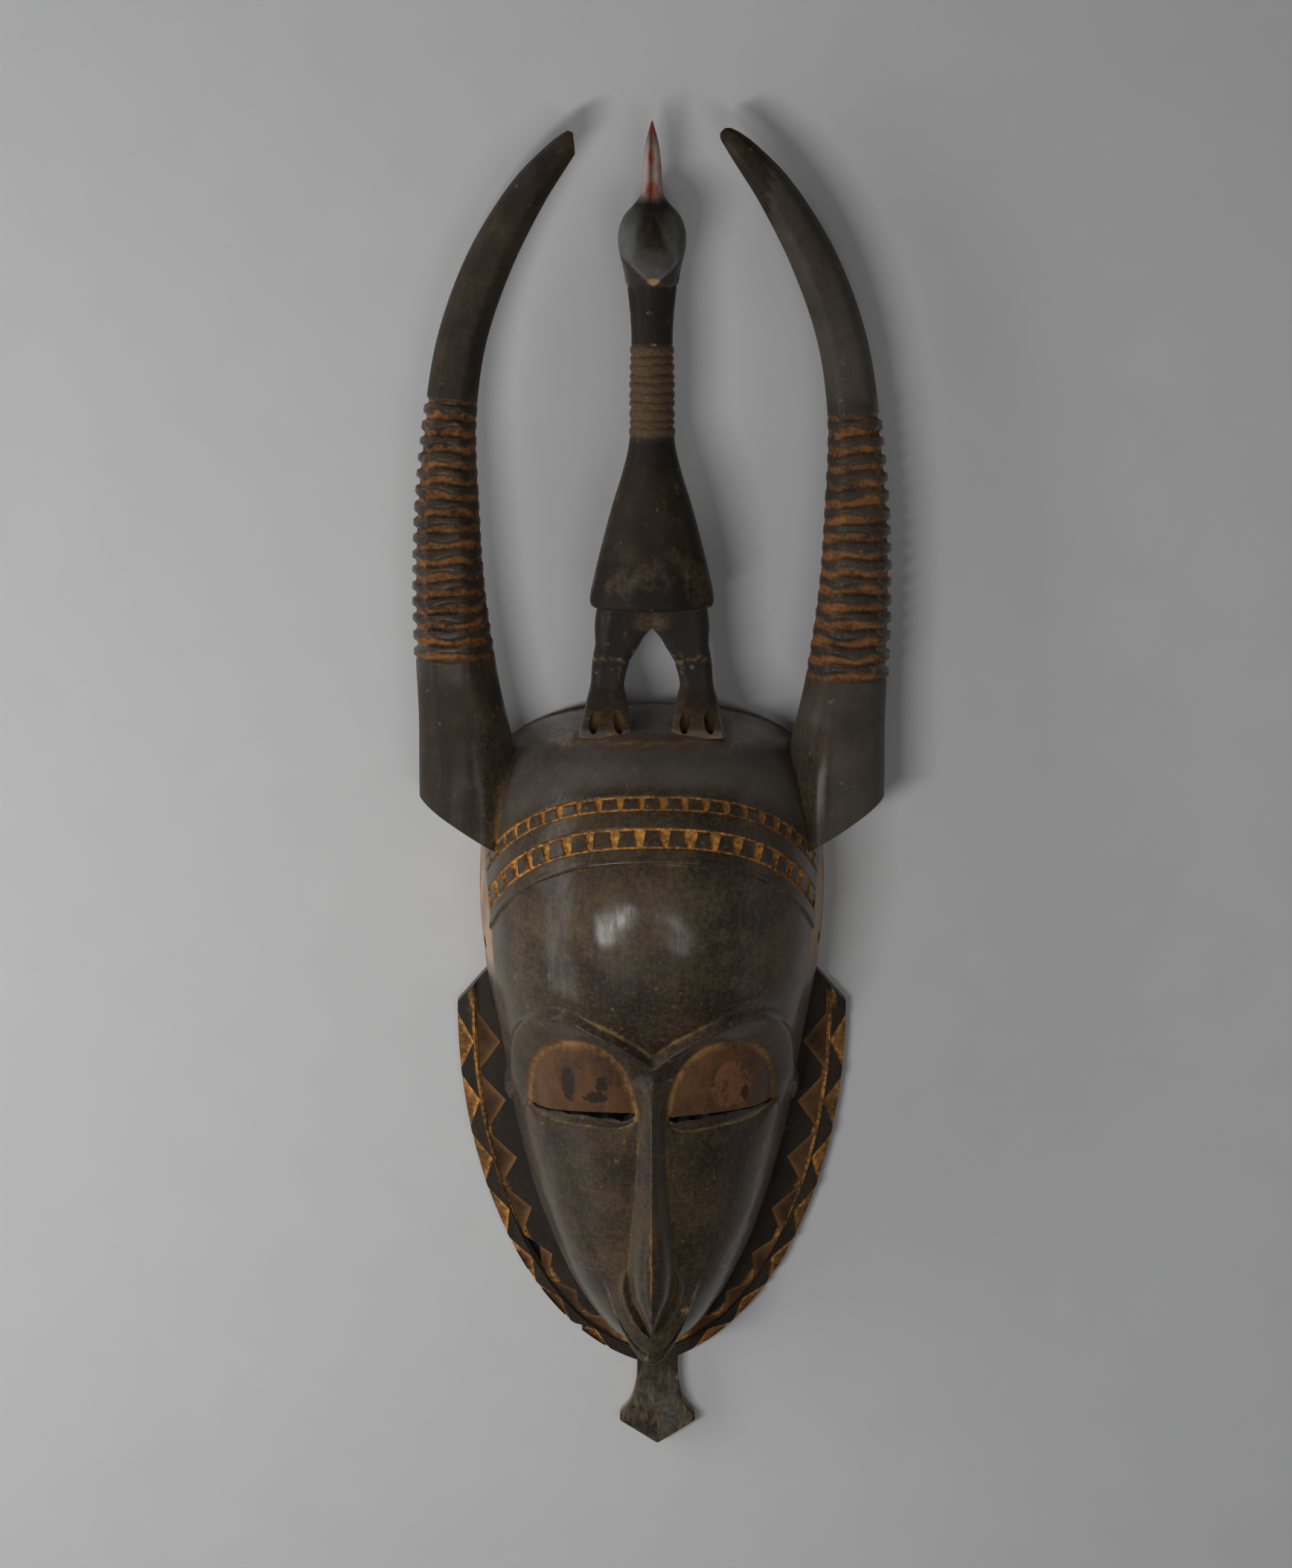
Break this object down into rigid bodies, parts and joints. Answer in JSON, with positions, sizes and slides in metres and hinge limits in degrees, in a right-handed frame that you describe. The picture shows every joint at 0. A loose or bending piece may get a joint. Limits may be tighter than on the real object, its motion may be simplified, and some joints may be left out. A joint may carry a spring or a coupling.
{
  "type": "carved wooden mask",
  "caption": "Wooden face mask with a hollow back, a notched collar, a beard, two ringed horns and a bird standing on the crown.",
  "frame": {"origin": "middle of the mask's outline on the surface that it lies on", "axes": "+X to the viewer's right of the face, +Y up to the crown and the horns, +Z out of the face"},
  "size_m": [0.2038, 0.5932, 0.0975],
  "materials": {
    "patinated_wood": "dark satin patina with ochre in the carving"
  },
  "bodies": {
    "root": {"mask": "patinated_wood"}
  },
  "joints": []
}
